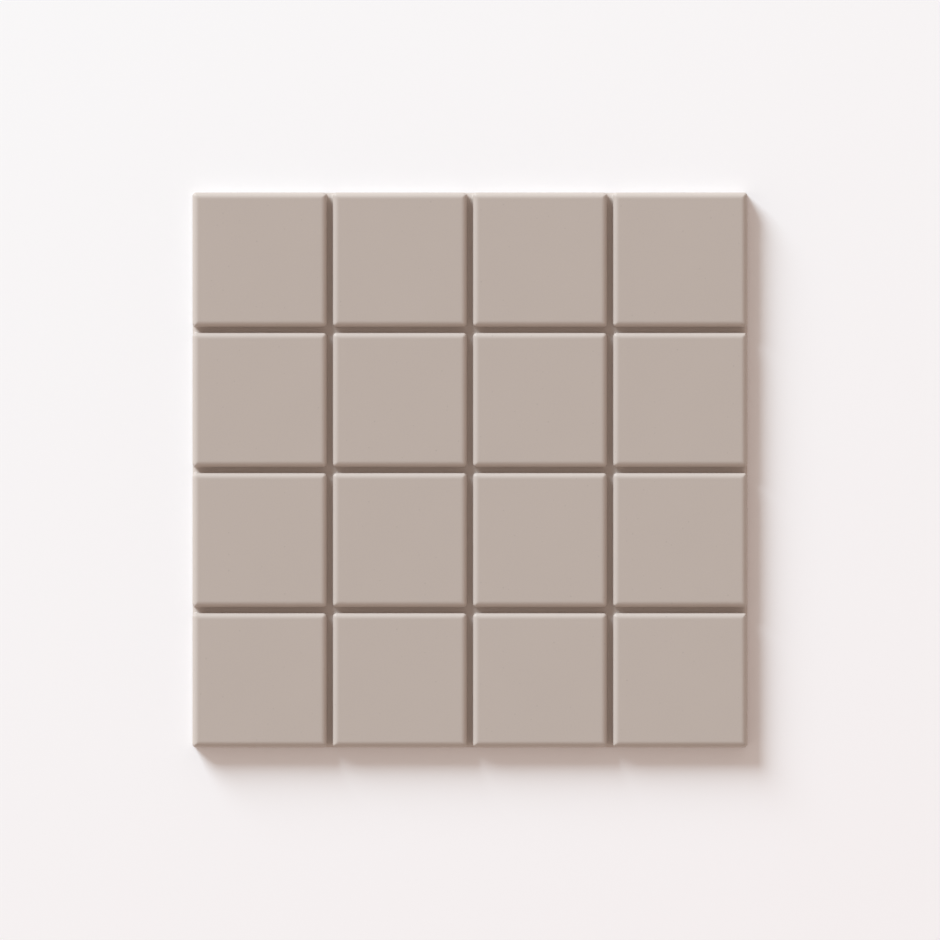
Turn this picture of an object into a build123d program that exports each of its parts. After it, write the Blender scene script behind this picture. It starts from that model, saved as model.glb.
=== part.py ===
# Square mosaic tile: one pressed and fired body whose face is divided by joints into raised square pads.
# Millimetres. The back lies on z = 0, the pads face up, and the tile is centred on the Z axis.
import os

from build123d import *

# Overall sizes
tile_side = 300.0            # each outer side of the square
tile_thickness = 10.0        # back to pad tops
corner_radius = 2.0          # rounding of the upright corners of the tile and the pads, seen from above
back_bevel = 0.6             # bevel around the edge of the back

# Pads and joints
pads_per_side = 4
joint_width = 3.3            # between the upright walls of two neighbouring pads
joint_depth = 5.4            # pad tops down to the joint floor
pad_edge_width = 3.2         # rounding of the pads' top edges along the joints, seen from above
pad_edge_drop = 2.4          # the same rounding, from the pad tops down
rim_radius = 3.4             # rounding of the pads' top edges along the tile's outer sides
end_foot = 1.1               # upright side left below the joint floor, which rounds off at the sides

# Cutters run this far past the surfaces that they cut
overrun = 1.0

# Sizes that follow from the ones above
half_side = tile_side / 2
half_joint = joint_width / 2
joint_mouth = joint_width + 2 * pad_edge_width
pad_flat = (tile_side - 2 * rim_radius - (pads_per_side - 1) * joint_mouth) / pads_per_side
pad_pitch = pad_flat + joint_mouth
joint_floor_z = tile_thickness - joint_depth
joint_end_radius = joint_floor_z - end_foot
over_side = half_side + overrun
over_top = tile_thickness + overrun
joint_places = [(k - pads_per_side / 2) * pad_pitch for k in range(1, pads_per_side)]
quarter_turns = [0, 90, 180, 270]


def joint_section():
    """Section of a joint: upright walls from the floor up, then the rounded edges of the two pads."""
    wall_z = tile_thickness - pad_edge_drop
    mouth_x = half_joint + pad_edge_width
    pad_edge = (pad_edge_width, pad_edge_drop)
    with BuildSketch(Plane.XZ) as section:
        with BuildLine():
            Line((-half_joint, wall_z), (-half_joint, joint_floor_z))
            Line((-half_joint, joint_floor_z), (half_joint, joint_floor_z))
            Line((half_joint, joint_floor_z), (half_joint, wall_z))
            EllipticalCenterArc((mouth_x, wall_z), *pad_edge, start_angle=90, arc_size=90)
            Line((mouth_x, tile_thickness), (mouth_x, over_top))
            Line((mouth_x, over_top), (-mouth_x, over_top))
            Line((-mouth_x, over_top), (-mouth_x, tile_thickness))
            EllipticalCenterArc((-mouth_x, wall_z), *pad_edge, start_angle=0, arc_size=90)
        make_face()
    return section.sketch


def edge_section(top_z, radius):
    """Section of what a rounding takes off the edge between a top face and the tile's outer side."""
    arc_x = half_side - radius
    arc_z = top_z - radius
    over_z = top_z + overrun
    with BuildSketch(Plane.XZ) as section:
        with BuildLine():
            CenterArc((arc_x, arc_z), radius, 0, 90)
            Line((arc_x, top_z), (arc_x, over_z))
            Line((arc_x, over_z), (over_side, over_z))
            Line((over_side, over_z), (over_side, arc_z))
            Line((over_side, arc_z), (half_side, arc_z))
        make_face()
    return section.sketch


def corner_plan():
    """Plan of what the roundings take off the four upright corners around a crossing of two joints."""
    reach = joint_width + 2 * corner_radius
    with BuildSketch() as plan:
        Rectangle(reach, reach)
        with GridLocations(reach, reach, 2, 2):
            Circle(corner_radius, mode=Mode.SUBTRACT)
        Rectangle(joint_width, reach, mode=Mode.SUBTRACT)
        Rectangle(reach, joint_width, mode=Mode.SUBTRACT)
    return plan.sketch


def corner_cutter(bottom_z):
    """Takes off the upright corners around the Z axis, from bottom_z to above the pads."""
    return Pos(0, 0, bottom_z) * extrude(corner_plan(), over_top - bottom_z)


# Cutters for one joint, one side and one joint end
joint_cutter = extrude(joint_section(), amount=over_side, both=True)
rim_cutter = extrude(edge_section(tile_thickness, rim_radius), amount=over_side, both=True)
end_cutter = extrude(edge_section(joint_floor_z, joint_end_radius), amount=half_joint, both=True)

# All the cutters in their places: joints both ways, crossings, and what repeats on each of the four sides
cutters = []
for place in joint_places:
    cutters.append(Pos(place, 0, 0) * joint_cutter)
    cutters.append(Rot(0, 0, 90) * Pos(place, 0, 0) * joint_cutter)
for place_x in joint_places:
    for place_y in joint_places:
        cutters.append(Pos(place_x, place_y, 0) * corner_cutter(joint_floor_z))
beside = half_side + half_joint
for turn in quarter_turns:
    cutters.append(Rot(0, 0, turn) * rim_cutter)
    for place in joint_places:
        cutters.append(Rot(0, 0, turn) * Pos(0, place, 0) * end_cutter)
        cutters.append(Rot(0, 0, turn) * Pos(beside, place, 0) * corner_cutter(end_foot))

# The body: a square slab with rounded corners and a bevelled back, less all of these
tile = Box(tile_side, tile_side, tile_thickness, align=(Align.CENTER, Align.CENTER, Align.MIN))
tile = fillet(tile.edges().filter_by(Axis.Z), corner_radius)
tile = chamfer(tile.faces().sort_by(Axis.Z)[0].edges(), back_bevel)
tile -= cutters

os.makedirs("parts", exist_ok=True)
export_step(tile, "parts/mosaic_tile.step")
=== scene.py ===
# Square mosaic tile of matt taupe ceramic, lying face up on a pale floor and seen straight from above.
import math
from types import SimpleNamespace

import bpy
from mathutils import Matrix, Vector


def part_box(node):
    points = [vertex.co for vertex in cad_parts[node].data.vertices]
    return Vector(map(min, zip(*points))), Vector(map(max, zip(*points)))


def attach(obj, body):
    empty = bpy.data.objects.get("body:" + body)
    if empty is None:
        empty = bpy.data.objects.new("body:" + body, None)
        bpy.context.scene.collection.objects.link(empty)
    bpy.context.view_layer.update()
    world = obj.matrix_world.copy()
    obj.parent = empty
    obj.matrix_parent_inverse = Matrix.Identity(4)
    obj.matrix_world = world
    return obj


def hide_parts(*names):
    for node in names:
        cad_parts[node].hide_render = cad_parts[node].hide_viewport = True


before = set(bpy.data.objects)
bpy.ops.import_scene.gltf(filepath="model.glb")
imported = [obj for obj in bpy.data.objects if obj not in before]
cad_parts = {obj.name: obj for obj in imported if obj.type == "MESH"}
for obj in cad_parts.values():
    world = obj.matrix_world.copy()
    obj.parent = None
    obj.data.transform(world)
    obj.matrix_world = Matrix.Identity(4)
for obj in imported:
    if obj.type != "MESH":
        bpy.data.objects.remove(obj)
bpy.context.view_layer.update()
tile_low, tile_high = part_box("mosaic_tile")

# Sizes of the tile, in metres
TILE_SIDE = tile_high.x - tile_low.x
TILE_THICKNESS = tile_high.z - tile_low.z
CORNER_RADIUS = 0.0020
BACK_BEVEL = 0.0006
PADS_PER_SIDE = 4
JOINT_WIDTH = 0.0033
JOINT_DEPTH = 0.0054
JOINT_HOLLOW_RADIUS = 0.0008
PAD_EDGE_WIDTH = 0.0032
PAD_EDGE_DROP = 0.0024
RIM_RADIUS = 0.0034
END_FOOT = 0.0011
JOINT_END_RADIUS = TILE_THICKNESS - JOINT_DEPTH - END_FOOT

# Waviness of the pads: its height in metres, how close and how fine its waves are, and which of many it is
WAVE_HEIGHT = 0.00004
WAVE_SCALE = 38.0
WAVE_DETAIL = 2.0
WAVE_SEED = 7.0

# How finely the section is divided
ROUNDING_STEPS = 10
HOLLOW_STEPS = 5
FLAT_STEPS = 14
FLAT_MARGIN = 0.0004

# How near points are merged, the shortest length to divide by, and the angle from which an edge is sharp
MERGE_DISTANCE = 0.00003
SHORTEST_LENGTH = 0.000001
SHARP_ANGLE = math.radians(38)

# Ceramic: its colour as linear red, green and blue, and what clouds, grain and specks do to it
NOISE_MEAN = 0.5
TAUPE = (0.487, 0.409, 0.363)
CLOUD_SCALE = 30.0
CLOUD_TONE = 0.035
GRAIN_SCALE = 1100.0
GRAIN_TONE = 0.05
SPECK_SCALE = 330.0
SPECK_TONE = 0.10
SPECK_RARITY = 0.72
SPECK_GROWTH = 0.55
SPECK_SOFTNESS = 0.04

# Skin of the ceramic: pores that vary its roughness, its relief in metres, and its shine
PORE_SCALE = 420.0
ROUGHNESS = 0.58
ROUGHNESS_RANGE = 0.16
RELIEF_HEIGHT = 0.0002
RELIEF_STRENGTH = 0.12
GRAIN_IN_RELIEF = 0.6
SHINE = 0.44

# Camera: the width of floor in the picture, lens and sensor in millimetres, and how near and far it sees
PICTURE_TO_TILE = 1.694
PICTURE_WIDTH = TILE_SIDE * PICTURE_TO_TILE
LENS_LENGTH = 420.0
SENSOR_WIDTH = 36.0
CAMERA_DISTANCE = PICTURE_WIDTH * LENS_LENGTH / SENSOR_WIDTH
NEAREST_SEEN = 0.1
FARTHEST_SEEN = CAMERA_DISTANCE * 4

# Floor: its colours as linear red, green and blue (a pale one, and a darker warm one that is painted shade
# of the key light falling off), how much of the painted shade lies where, reach and gap
FLOOR_COOL = (0.985, 0.97, 0.975)
FLOOR_PAINTED_SHADE = (0.946, 0.8945, 0.8945)
PAINTED_SHADE_IN_MIDDLE = 0.52
PAINTED_SHADE_TO_RIGHT = 0.36
PAINTED_SHADE_TO_BOTTOM = 0.68
FLOOR_REACH = 8.0
FLOOR_GAP = 0.00005

# Light on the level floor, as linear red, green and blue, and where the key comes from, in degrees
KEY_LIGHT = (0.40, 0.478, 0.525)
KEY_CLIMB = 21.6
KEY_TURN = 52.0
KEY_SPREAD = 28.7
FILL_LIGHT = (0.56, 0.482, 0.435)
FILL_OVERHEAD = 0.7
FILL_AT_HORIZON = 1.6


class Value:
    """A socket of a node tree that takes part in sums."""

    def __init__(self, graph, socket):
        self.graph = graph
        self.socket = socket

    def __add__(self, other):
        return self.graph.math("ADD", self, other)

    def __radd__(self, other):
        return self.graph.math("ADD", other, self)

    def __sub__(self, other):
        return self.graph.math("SUBTRACT", self, other)

    def __rsub__(self, other):
        return self.graph.math("SUBTRACT", other, self)

    def __mul__(self, other):
        return self.graph.math("MULTIPLY", self, other)

    def __rmul__(self, other):
        return self.graph.math("MULTIPLY", other, self)

    def __truediv__(self, other):
        return self.graph.math("DIVIDE", self, other)

    def __rtruediv__(self, other):
        return self.graph.math("DIVIDE", other, self)

    def __abs__(self):
        return self.graph.math("ABSOLUTE", self)


class Graph:
    """Adds nodes to one node tree."""

    def __init__(self, tree):
        self.tree = tree

    def node(self, kind, settings=None, sockets=None):
        """A new node. Its settings are set first, then its sockets take values or links."""
        made = self.tree.nodes.new(kind)
        for name, value in (settings or {}).items():
            setattr(made, name, value)
        for name, value in (sockets or {}).items():
            socket = self.find(made.inputs, name)
            if isinstance(value, Value):
                self.tree.links.new(value.socket, socket)
            else:
                socket.default_value = value
        return made

    def find(self, sockets, name):
        """The socket with this identifier, or else the first one with this name or number."""
        for socket in sockets:
            if socket.identifier == name:
                return socket
        return sockets[name]

    def out(self, node, name=0):
        """One output of a node, ready for sums."""
        return Value(self, self.find(node.outputs, name))

    def get(self, kind, settings=None, sockets=None, output=0):
        """A new node's output."""
        return self.out(self.node(kind, settings, sockets), output)

    def math(self, operation, *values):
        """The result of a Math node."""
        sockets = dict(zip(("Value", "Value_001", "Value_002"), values))
        return self.get("ShaderNodeMath", {"operation": operation}, sockets)

    def larger(self, a, b):
        """The larger of two values."""
        return self.math("MAXIMUM", a, b)

    def limited(self, value):
        """A value held between 0 and 1."""
        return self.math("MINIMUM", self.larger(value, 0.0), 1.0)

    def vector(self, operation, *vectors):
        """The result of a Vector Math node."""
        sockets = dict(zip(("Vector", "Vector_001", "Vector_002"), vectors))
        return self.get("ShaderNodeVectorMath", {"operation": operation}, sockets)

    def scaled(self, vector, share):
        """A vector or colour times a value."""
        sockets = {"Vector": vector, "Scale": share}
        return self.get("ShaderNodeVectorMath", {"operation": "SCALE"}, sockets)

    def joined(self, x, y, z=0.0):
        """Three values as one vector."""
        return self.get("ShaderNodeCombineXYZ", None, {"X": x, "Y": y, "Z": z})

    def parts(self, vector):
        """The three values in a vector."""
        split = self.node("ShaderNodeSeparateXYZ", None, {"Vector": vector})
        return [self.out(split, axis) for axis in "XYZ"]

    def mix_colour(self, share, a, b):
        """Two colours mixed, with this share of the second one."""
        settings = {"data_type": "RGBA", "blend_type": "MIX"}
        sockets = {"Factor_Float": share, "A_Color": a, "B_Color": b}
        return self.get("ShaderNodeMix", settings, sockets, "Result_Color")


def emptied_graph(owner):
    """The node tree of a new material or world, with nothing in it yet."""
    owner.use_nodes = True
    owner.node_tree.nodes.clear()
    return Graph(owner.node_tree)


def new_object(name, data):
    """An object at the origin, in the scene."""
    made = bpy.data.objects.new(name, data)
    bpy.context.scene.collection.objects.link(made)
    return made


def ceramic_body():
    """Matt through-coloured ceramic: faint clouds, fine grain, sparse specks, a slightly uneven skin."""
    material = bpy.data.materials.new("taupe_ceramic")
    g = emptied_graph(material)
    place = g.get("ShaderNodeTexCoord", output="Object")

    def noise(scale, detail, roughness):
        sockets = {"Vector": place, "Scale": scale, "Detail": detail, "Roughness": roughness}
        return g.get("ShaderNodeTexNoise", None, sockets, "Fac")

    clouds = noise(CLOUD_SCALE, detail=3.0, roughness=0.55)
    grain = noise(GRAIN_SCALE, detail=2.0, roughness=0.6)
    pores = noise(PORE_SCALE, detail=3.0, roughness=0.65)
    cells = g.node("ShaderNodeTexVoronoi", None, {"Vector": place, "Scale": SPECK_SCALE})
    chance = g.get("ShaderNodeSeparateColor", None, {"Color": g.out(cells, "Color")}, "Red")
    speck_radius = (chance - SPECK_RARITY) * SPECK_GROWTH
    speck_mask = g.get(
        "ShaderNodeMapRange",
        {"interpolation_type": "SMOOTHSTEP"},
        {
            "Value": speck_radius - g.out(cells, "Distance"),
            "From Min": -SPECK_SOFTNESS,
            "From Max": SPECK_SOFTNESS,
        },
    )
    tone = 1.0 + (clouds - NOISE_MEAN) * CLOUD_TONE
    tone = tone + (grain - NOISE_MEAN) * GRAIN_TONE - speck_mask * SPECK_TONE
    relief = grain * GRAIN_IN_RELIEF + pores
    bump = g.get(
        "ShaderNodeBump",
        None,
        {"Strength": RELIEF_STRENGTH, "Distance": RELIEF_HEIGHT, "Height": relief},
    )
    shader = g.get(
        "ShaderNodeBsdfPrincipled",
        None,
        {
            "Base Color": g.scaled(TAUPE, tone),
            "Roughness": ROUGHNESS + (pores - NOISE_MEAN) * ROUGHNESS_RANGE,
            "Normal": bump,
            "Specular IOR Level": SHINE,
        },
    )
    g.node("ShaderNodeOutputMaterial", None, {"Surface": shader})
    return material


class Station:
    """One point of the tile's section, with what the crossing of two sections has to know about it."""

    def __init__(self, place, depth, side, inset, on_rim, floor=0.0, foot=0.0, slab=0.0):
        self.point = (place, 0.0, depth)
        # Which way the nearest wall faces, how far in from it the point is, and if it is an outer side
        self.wall = (side, inset, 1.0 if on_rim else 0.0)
        # If the point belongs to a joint's floor, to the line where the joints' ends stop, to the slab
        self.base = (floor, foot, slab)


def pad_edge(flat_end, side, on_rim):
    """Stations from a pad's flat top outwards: down to a joint's floor, or to the bevel at the rim."""
    width, drop = (RIM_RADIUS, RIM_RADIUS) if on_rim else (PAD_EDGE_WIDTH, PAD_EDGE_DROP)
    wall = flat_end + side * width
    stations = []
    for step in range(ROUNDING_STEPS + 1):
        angle = math.pi / 2 * step / ROUNDING_STEPS
        inset = width * (1 - math.sin(angle))
        depth = drop * (1 - math.cos(angle))
        stations.append(Station(wall - side * inset, depth, side, inset, on_rim))
    if on_rim:
        stations.append(Station(wall, JOINT_DEPTH, side, 0.0, on_rim, foot=1.0))
        stations.append(Station(wall, JOINT_DEPTH, side, 0.0, on_rim, foot=1.0, slab=1.0))
        stations.append(Station(wall, TILE_THICKNESS - BACK_BEVEL, side, 0.0, on_rim, slab=1.0))
        return stations
    for step in range(HOLLOW_STEPS + 1):
        angle = math.pi / 2 * step / HOLLOW_STEPS
        reach = JOINT_HOLLOW_RADIUS * (1 - math.cos(angle))
        depth = JOINT_DEPTH - JOINT_HOLLOW_RADIUS * (1 - math.sin(angle))
        stations.append(Station(wall + side * reach, depth, side, -reach, on_rim, floor=1.0))
    return stations


def pad_flat(start, end, rim_at_start, rim_at_end):
    """Stations on a pad's flat top, set close to both ends so that the roundings keep their shading."""
    stations = []
    first = start + FLAT_MARGIN
    last = end - FLAT_MARGIN
    for step in range(FLAT_STEPS + 1):
        place = first + (last - first) * step / FLAT_STEPS
        nearer_start = step * 2 <= FLAT_STEPS
        on_rim = rim_at_start if nearer_start else rim_at_end
        width = RIM_RADIUS if on_rim else PAD_EDGE_WIDTH
        inset = width + (place - start if nearer_start else end - place)
        stations.append(Station(place, 0.0, -1.0 if nearer_start else 1.0, inset, on_rim))
    return stations


def tile_section():
    """Stations across the tile from side to side."""
    mouth = JOINT_WIDTH + 2 * PAD_EDGE_WIDTH
    flat = (TILE_SIDE - 2 * RIM_RADIUS - (PADS_PER_SIDE - 1) * mouth) / PADS_PER_SIDE
    stations = []
    for pad in range(PADS_PER_SIDE):
        rim_at_start = pad == 0
        rim_at_end = pad == PADS_PER_SIDE - 1
        start = RIM_RADIUS - TILE_SIDE / 2 + pad * (flat + mouth)
        end = start + flat
        stations += reversed(pad_edge(start, -1.0, rim_at_start))
        stations += pad_flat(start, end, rim_at_start, rim_at_end)
        stations += pad_edge(end, 1.0, rim_at_end)
    return stations


def section_object():
    """The section as a row of points, with what belongs to each point kept beside it."""
    stations = tile_section()
    mesh = bpy.data.meshes.new("mosaic_tile_body")
    mesh.from_pydata([station.point for station in stations], [], [])
    for name in ("wall", "base"):
        numbers = [number for station in stations for number in getattr(station, name)]
        mesh.attributes.new(name, "FLOAT_VECTOR", "POINT").data.foreach_set("vector", numbers)
    return new_object("mosaic_tile_body", mesh)


def add_sizes(tree):
    """Named inputs of the tree for the tile's sizes, and the identifier of each one."""
    inputs = (
        ("Section", "NodeSocketGeometry", None),
        ("Half side", "NodeSocketFloat", TILE_SIDE / 2),
        ("Thickness", "NodeSocketFloat", TILE_THICKNESS),
        ("Half joint", "NodeSocketFloat", JOINT_WIDTH / 2),
        ("Joint depth", "NodeSocketFloat", JOINT_DEPTH),
        ("Joint end radius", "NodeSocketFloat", JOINT_END_RADIUS),
        ("Corner radius", "NodeSocketFloat", CORNER_RADIUS),
        ("Back bevel", "NodeSocketFloat", BACK_BEVEL),
        ("Unevenness", "NodeSocketFloat", WAVE_HEIGHT),
        ("Seed", "NodeSocketFloat", WAVE_SEED),
        ("Ceramic", "NodeSocketMaterial", None),
    )
    identifiers = {}
    for name, kind, value in inputs:
        socket = tree.interface.new_socket(name, in_out="INPUT", socket_type=kind)
        if value is not None:
            socket.default_value = value
        identifiers[name] = socket.identifier
    return identifiers


def sampled_station(g, section, number):
    """What the section keeps at one of its stations, as values of the tree."""

    def kept(field):
        settings = {"data_type": "FLOAT_VECTOR", "domain": "POINT"}
        sockets = {"Geometry": section, "Index": number, "Value": field}
        return g.parts(g.get("GeometryNodeSampleIndex", settings, sockets))

    def beside(name):
        settings = {"data_type": "FLOAT_VECTOR"}
        return g.get("GeometryNodeInputNamedAttribute", settings, {"Name": name}, "Attribute")

    place, _, depth = kept(g.get("GeometryNodeInputPosition"))
    side, inset, rim = kept(beside("wall"))
    floor, foot, slab = kept(beside("base"))
    return SimpleNamespace(
        place=place, depth=depth, side=side, inset=inset, rim=rim, floor=floor, foot=foot, slab=slab
    )


def crossed_face(g, given):
    """Face, rims and sides of the tile, down to the bevel of its back."""
    section = given["Section"]
    radius = given["Corner radius"]
    end_radius = given["Joint end radius"]
    count = g.get(
        "GeometryNodeAttributeDomainSize", {"component": "MESH"}, {"Geometry": section}, "Point Count"
    )
    grid = g.get("GeometryNodeMeshGrid", None, {"Vertices X": count, "Vertices Y": count}, "Mesh")
    index = g.get("GeometryNodeInputIndex")
    row = g.math("FLOOR", (index + 0.5) / count)
    across = sampled_station(g, section, row)
    along = sampled_station(g, section, index - row * count)

    # Square corners are drawn in to round ones, and the slab keeps its straight sides under the pads
    reach_x = g.larger(radius - across.inset, 0.0)
    reach_y = g.larger(radius - along.inset, 0.0)
    farther = g.larger(reach_x, reach_y)
    straight_line = g.math("SQRT", reach_x * reach_x + reach_y * reach_y)
    in_joint = g.limited((farther - radius) / given["Half joint"])
    in_slab = g.limited(across.slab * (1.0 - along.rim) + along.slab * (1.0 - across.rim))
    drawn_in = 1.0 - farther / g.larger(straight_line, SHORTEST_LENGTH)
    drawn_in = drawn_in * (1.0 - in_joint) * (1.0 - in_slab)
    x = across.place - across.side * reach_x * drawn_in
    y = along.place - along.side * reach_y * drawn_in

    def end_drop(place):
        """How far a joint's floor rounds down on its way out at a side."""
        past = g.larger(abs(place) - (given["Half side"] - end_radius), 0.0)
        return end_radius - g.math("SQRT", g.larger(end_radius * end_radius - past * past, 0.0))

    # The lower of the two sections counts, and the pads are slightly wavy
    depth_x = across.depth + across.floor * end_drop(y) + across.foot * end_drop(x)
    depth_y = along.depth + along.floor * end_drop(x) + along.foot * end_drop(y)
    depth = g.larger(depth_x, depth_y)
    waves = g.get(
        "ShaderNodeTexNoise",
        {"noise_dimensions": "4D"},
        {"Vector": g.joined(x, y), "W": given["Seed"], "Scale": WAVE_SCALE, "Detail": WAVE_DETAIL},
        "Fac",
    )
    above_floor = g.larger(1.0 - depth / given["Joint depth"], 0.0)
    depth = depth + waves * given["Unevenness"] * above_floor
    place = g.joined(x, y, given["Thickness"] - depth)
    face = g.get("GeometryNodeSetPosition", None, {"Geometry": grid, "Position": place})
    return g.get("GeometryNodeMergeByDistance", None, {"Geometry": face, "Distance": MERGE_DISTANCE})


def open_edges(g):
    """Picks the edges that have a face on one side only."""
    faces_beside = g.get("GeometryNodeInputMeshEdgeNeighbors")
    one_face = 1.0
    tolerance = 0.1
    return g.math("COMPARE", faces_beside, one_face, tolerance)


def closed_body(g, given, face):
    """Turns the open edge in by the bevel, evenly round the corners, and closes the back."""
    turned_in = g.node(
        "GeometryNodeExtrudeMesh",
        {"mode": "EDGES"},
        {"Mesh": face, "Selection": open_edges(g), "Offset Scale": 0.0},
    )
    radius = given["Corner radius"]
    centre_reach = given["Half side"] - radius
    farthest = g.joined(centre_reach, centre_reach)
    nearest = g.vector("MULTIPLY", farthest, (-1.0, -1.0, -1.0))
    position = g.get("GeometryNodeInputPosition")
    centre = g.vector("MINIMUM", g.vector("MAXIMUM", position, nearest), farthest)
    share_left = 1.0 - given["Back bevel"] / radius
    reach_left = g.joined(share_left, share_left)
    back_place = g.vector("MULTIPLY_ADD", g.vector("SUBTRACT", position, centre), reach_left, centre)
    moved = {
        "Geometry": g.out(turned_in, "Mesh"),
        "Selection": g.out(turned_in, "Top"),
        "Position": back_place,
    }
    shell = g.get("GeometryNodeSetPosition", None, moved)
    outline = g.get("GeometryNodeMeshToCurve", None, {"Mesh": shell, "Selection": open_edges(g)})
    back = g.get("GeometryNodeFillCurve", {"mode": "TRIANGLES"}, {"Curve": outline})
    back = g.get("GeometryNodeFlipFaces", None, {"Mesh": back})
    both = g.node("GeometryNodeJoinGeometry")
    for geometry in (shell, back):
        g.tree.links.new(geometry.socket, both.inputs[0])
    merged = {"Geometry": g.out(both), "Distance": MERGE_DISTANCE}
    return g.get("GeometryNodeMergeByDistance", None, merged)


def shaded_body(g, body):
    """Shades the roundings smooth and keeps the sharp edges sharp."""
    smooth = {"Geometry": body, "Shade Smooth": True}
    body = g.get("GeometryNodeSetShadeSmooth", {"domain": "FACE"}, smooth)
    sharp_edges = g.math("GREATER_THAN", g.get("GeometryNodeInputMeshEdgeAngle"), SHARP_ANGLE)
    sharp = {"Geometry": body, "Selection": sharp_edges, "Shade Smooth": False}
    return g.get("GeometryNodeSetShadeSmooth", {"domain": "EDGE"}, sharp)


def crossed_section_tree():
    """Crosses the section with itself: pads stand where both are high, joints run where either is low."""
    tree = bpy.data.node_groups.new("crossed_section", "GeometryNodeTree")
    identifiers = add_sizes(tree)
    tree.interface.new_socket("Tile", in_out="OUTPUT", socket_type="NodeSocketGeometry")
    g = Graph(tree)
    source = g.node("NodeGroupInput")
    given = {name: g.out(source, identifier) for name, identifier in identifiers.items()}
    body = closed_body(g, given, crossed_face(g, given))
    body = shaded_body(g, body)
    body = g.get("GeometryNodeRealizeInstances", None, {"Geometry": body})
    body = g.get("GeometryNodeSetMaterial", None, {"Geometry": body, "Material": given["Ceramic"]})
    g.node("NodeGroupOutput", None, {"Tile": body})
    return tree, identifiers


def mosaic_tile_body(ceramic):
    """The tile: its section crossed with itself, then kept as a plain mesh."""
    piece = section_object()
    tree, identifiers = crossed_section_tree()
    modifier = piece.modifiers.new("crossed section", "NODES")
    modifier.node_group = tree
    modifier[identifiers["Ceramic"]] = ceramic
    evaluated = piece.evaluated_get(bpy.context.evaluated_depsgraph_get())
    mesh = bpy.data.meshes.new_from_object(evaluated)
    piece.modifiers.remove(modifier)
    piece.data = mesh
    mesh.name = "mosaic_tile_body"
    return piece


def pale_floor():
    """A wide white floor under the tile, with painted shade: darker and warmer towards the lower right of
    the picture, away from the key light.
    """
    material = bpy.data.materials.new("floor_white")
    g = emptied_graph(material)
    x, y, _ = g.parts(g.get("ShaderNodeTexCoord", output="Object"))
    # Painted shade: the floor's colour turns darker and warmer towards the lower right, in place of the
    # key light falling off
    painted_shade = PAINTED_SHADE_IN_MIDDLE + (x * PAINTED_SHADE_TO_RIGHT - y * PAINTED_SHADE_TO_BOTTOM) / PICTURE_WIDTH
    colour = g.mix_colour(painted_shade, (*FLOOR_COOL, 1.0), (*FLOOR_PAINTED_SHADE, 1.0))
    shader = g.get("ShaderNodeBsdfDiffuse", None, {"Color": colour})
    g.node("ShaderNodeOutputMaterial", None, {"Surface": shader})
    square = ((-1, -1), (1, -1), (1, 1), (-1, 1))
    corners = [(FLOOR_REACH * right, FLOOR_REACH * up, 0.0) for right, up in square]
    mesh = bpy.data.meshes.new("pale_floor")
    mesh.from_pydata(corners, [], [(0, 1, 2, 3)])
    mesh.materials.append(material)
    floor = new_object("pale_floor", mesh)
    floor.location.z = tile_low.z - FLOOR_GAP


def soft_key():
    """A low, broad and cool light from the upper left of the picture."""
    climb = math.radians(KEY_CLIMB)
    turn = math.radians(KEY_TURN)
    strongest = max(KEY_LIGHT)
    key = bpy.data.lights.new("soft_key", "SUN")
    key.energy = math.pi * strongest / math.sin(climb)
    key.angle = math.radians(KEY_SPREAD)
    key.color = [part / strongest for part in KEY_LIGHT]
    level = math.cos(climb)
    travel = Vector((math.cos(turn) * level, -math.sin(turn) * level, -math.sin(climb)))
    lamp = new_object("soft_key", key)
    lamp.rotation_mode = "QUATERNION"
    lamp.rotation_quaternion = travel.to_track_quat("-Z", "Y")


def pale_surround():
    """A warm fill, strongest near the horizon, and as pale as the floor where it is seen or mirrored."""
    world = bpy.data.worlds.new("pale_surround")
    g = emptied_graph(world)
    rays = g.node("ShaderNodeLightPath")
    seen = g.larger(g.out(rays, "Is Camera Ray"), g.out(rays, "Is Glossy Ray"))
    seen = g.larger(seen, g.out(rays, "Is Transmission Ray"))
    _, _, up = g.parts(g.get("ShaderNodeTexCoord", output="Generated"))
    share = FILL_AT_HORIZON + g.larger(up, 0.0) * (FILL_OVERHEAD - FILL_AT_HORIZON)
    colour = g.mix_colour(seen, g.scaled(FILL_LIGHT, share), (*FLOOR_COOL, 1.0))
    surround = g.get("ShaderNodeBackground", None, {"Color": colour})
    g.node("ShaderNodeOutputWorld", None, {"Surface": surround})
    bpy.context.scene.world = world


def camera_above():
    """A long lens straight above the tile, with the picture's right along +X and its top along +Y."""
    lens = bpy.data.cameras.new("camera_above")
    lens.lens = LENS_LENGTH
    lens.sensor_width = SENSOR_WIDTH
    lens.clip_start = NEAREST_SEEN
    lens.clip_end = FARTHEST_SEEN
    camera = new_object("camera_above", lens)
    camera.location = (0.0, 0.0, TILE_THICKNESS / 2 + CAMERA_DISTANCE)
    bpy.context.scene.camera = camera


tile = mosaic_tile_body(ceramic_body())
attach(tile, "root")
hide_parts("mosaic_tile")
pale_floor()
soft_key()
pale_surround()
camera_above()
bpy.context.scene.view_settings.view_transform = "Standard"
